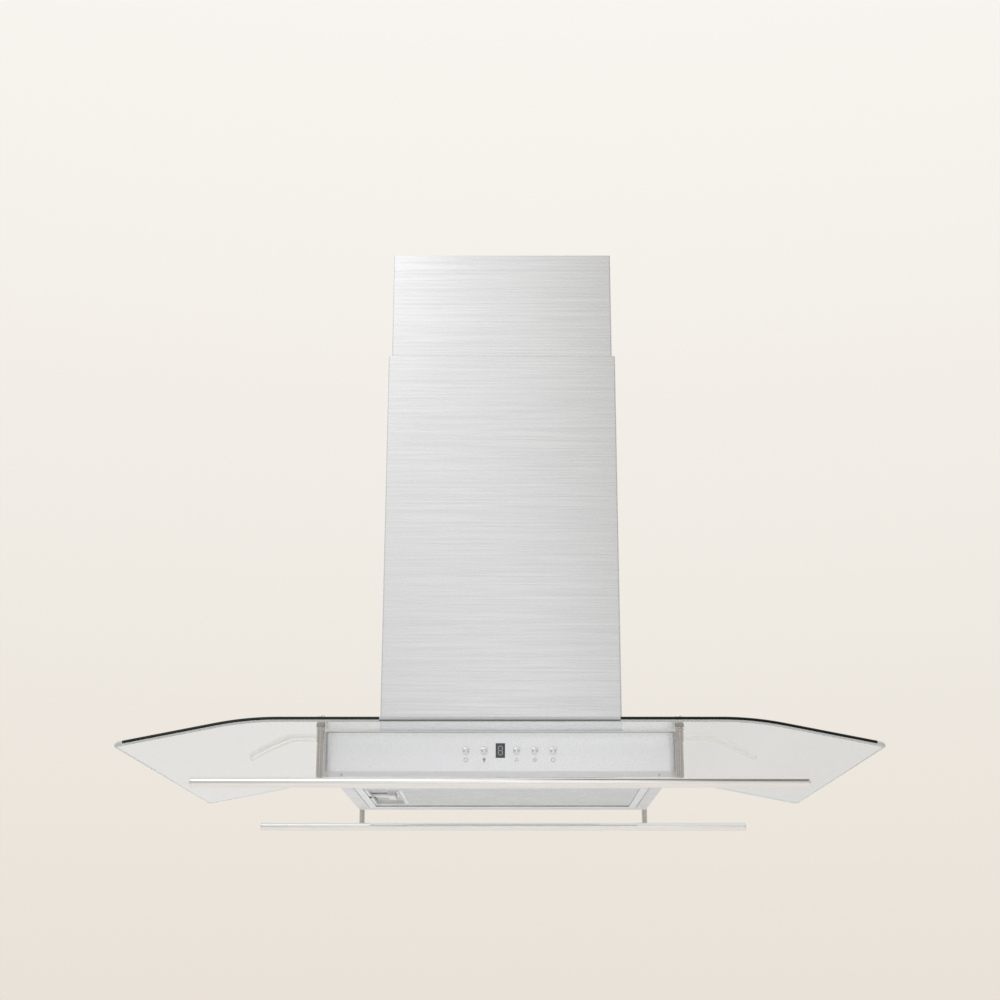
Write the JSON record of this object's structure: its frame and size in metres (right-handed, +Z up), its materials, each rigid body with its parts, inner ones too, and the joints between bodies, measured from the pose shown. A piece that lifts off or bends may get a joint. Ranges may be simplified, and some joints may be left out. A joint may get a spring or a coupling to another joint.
{
  "type": "range hood",
  "caption": "Ceiling-hung island range hood: bent glass canopy with drooping wings, square telescopic steel chimney, control strip, utensil rails and a hinged grease filter.",
  "frame": {"origin": "middle of the ceiling face of the ceiling plate, centred between the four ceiling anchors", "axes": "+Z up towards the ceiling, -Y the front with the controls, +X to the right of someone facing the controls"},
  "size_m": [0.9, 0.6, 0.743],
  "materials": {
    "covers_steel": "brushed along the width",
    "body_steel": "fine brushed",
    "galvanised": "zinc coated",
    "fasteners": "zinc plated",
    "canopy_glass": "clear toughened, polished edges",
    "lamp_glass": "frosted",
    "polished_steel": "polished",
    "panel": "satin anodised",
    "filter_aluminium": "expanded and rolled sheet",
    "lamp_cans": "spun",
    "rubber": "black EPDM",
    "washers": "clear nylon",
    "black_plastic": "moulded",
    "grey_plastic": "moulded",
    "display": "smoked",
    "circuit_board": "solder mask",
    "switches": "moulded",
    "motor_paint": "dark enamel",
    "collar_steel": "zinc coated"
  },
  "bodies": {
    "ceiling_mount": {"ceiling_plate": "galvanised", "upper_frame": "galvanised", "frame_bolts": "fasteners", "upper_cover_front": "covers_steel", "upper_cover_rear": "covers_steel", "cover_screws": "fasteners", "cover_glides": "black_plastic"},
    "hood": {"lower_frame": "galvanised", "height_bolts": "fasteners", "glass_canopy": "canopy_glass", "glass_gaskets": "rubber", "glass_clamp_bolts": "fasteners", "body_pan": "body_steel", "top_plate": "galvanised", "lamp_housings": "lamp_cans", "lamp_lenses": "lamp_glass", "lamp_bezels": "polished_steel", "lamp_driver": "grey_plastic", "filter_hinge_clips": "galvanised", "control_box": "galvanised", "fascia_frame": "body_steel", "fascia_screws": "fasteners", "control_panel": "panel", "display_window": "display", "display_module": "display", "control_board": "circuit_board", "button_switches": "switches", "button_guide": "black_plastic", "front_rail": "polished_steel", "rear_rail": "polished_steel", "rail_end_caps": "polished_steel", "rail_posts": "polished_steel", "post_sleeves": "polished_steel", "post_washers": "washers", "cap_nuts": "polished_steel", "blower_chamber": "galvanised", "scroll_housing_front": "black_plastic", "scroll_housing_rear": "black_plastic", "motor": "motor_paint", "motor_bracket": "galvanised", "motor_grommets": "rubber", "duct_collar": "collar_steel", "junction_box": "black_plastic", "cable_gland": "black_plastic"},
    "lower_cover": {"lower_cover_front": "covers_steel", "lower_cover_rear": "covers_steel", "lower_cover_rivets": "fasteners"},
    "power_button": {"power_button": "polished_steel"},
    "light_button": {"light_button": "polished_steel"},
    "low_speed_button": {"low_speed_button": "polished_steel"},
    "medium_speed_button": {"medium_speed_button": "polished_steel"},
    "high_speed_button": {"high_speed_button": "polished_steel"},
    "grease_filter": {"filter_frame": "filter_aluminium", "filter_mesh": "filter_aluminium", "latch_pocket": "body_steel"},
    "filter_latch": {"latch_slider": "body_steel"},
    "impeller": {"impeller": "black_plastic", "motor_shaft": "fasteners"},
    "flap_left": {"flap_left": "grey_plastic"},
    "flap_right": {"flap_right": "grey_plastic"}
  },
  "joints": [
    {"name": "hood_height", "type": "slide", "parent": "ceiling_mount", "child": "hood", "axis": [0, 0, 1], "range_m": [-0.15, 0.05]},
    {"name": "cover_lift", "type": "slide", "parent": "hood", "child": "lower_cover", "axis": [0, 0, 1], "range_m": [0, 0.08]},
    {"name": "power_button_press", "type": "slide", "parent": "hood", "child": "power_button", "axis": [0, 1, 0], "range_m": [0, 0.0015], "stiffness_N_per_m": 400, "springref_m": -0.0005},
    {"name": "light_button_press", "type": "slide", "parent": "hood", "child": "light_button", "axis": [0, 1, 0], "range_m": [0, 0.0015], "stiffness_N_per_m": 400, "springref_m": -0.0005},
    {"name": "low_speed_button_press", "type": "slide", "parent": "hood", "child": "low_speed_button", "axis": [0, 1, 0], "range_m": [0, 0.0015], "stiffness_N_per_m": 400, "springref_m": -0.0005},
    {"name": "medium_speed_button_press", "type": "slide", "parent": "hood", "child": "medium_speed_button", "axis": [0, 1, 0], "range_m": [0, 0.0015], "stiffness_N_per_m": 400, "springref_m": -0.0005},
    {"name": "high_speed_button_press", "type": "slide", "parent": "hood", "child": "high_speed_button", "axis": [0, 1, 0], "range_m": [0, 0.0015], "stiffness_N_per_m": 400, "springref_m": -0.0005},
    {"name": "filter_swing", "type": "hinge", "parent": "hood", "child": "grease_filter", "pos_m": [0.184, 0.034, -0.7155], "axis": [0, -1, 0], "range_deg": [0, 80]},
    {"name": "latch_slide", "type": "slide", "parent": "grease_filter", "child": "filter_latch", "axis": [1, 0, 0], "range_m": [0, 0.006], "stiffness_N_per_m": 300, "springref_m": -0.002},
    {"name": "impeller_spin", "type": "hinge", "parent": "hood", "child": "impeller", "pos_m": [-0.037, 0, -0.563], "axis": [0, 1, 0], "continuous": true},
    {"name": "flap_left_lift", "type": "hinge", "parent": "hood", "child": "flap_left", "pos_m": [0.009, 0, -0.41], "axis": [0, 1, 0], "range_deg": [0, 80]},
    {"name": "flap_right_lift", "type": "hinge", "parent": "hood", "child": "flap_right", "pos_m": [0.015, 0, -0.41], "axis": [0, -1, 0], "range_deg": [0, 80]}
  ]
}
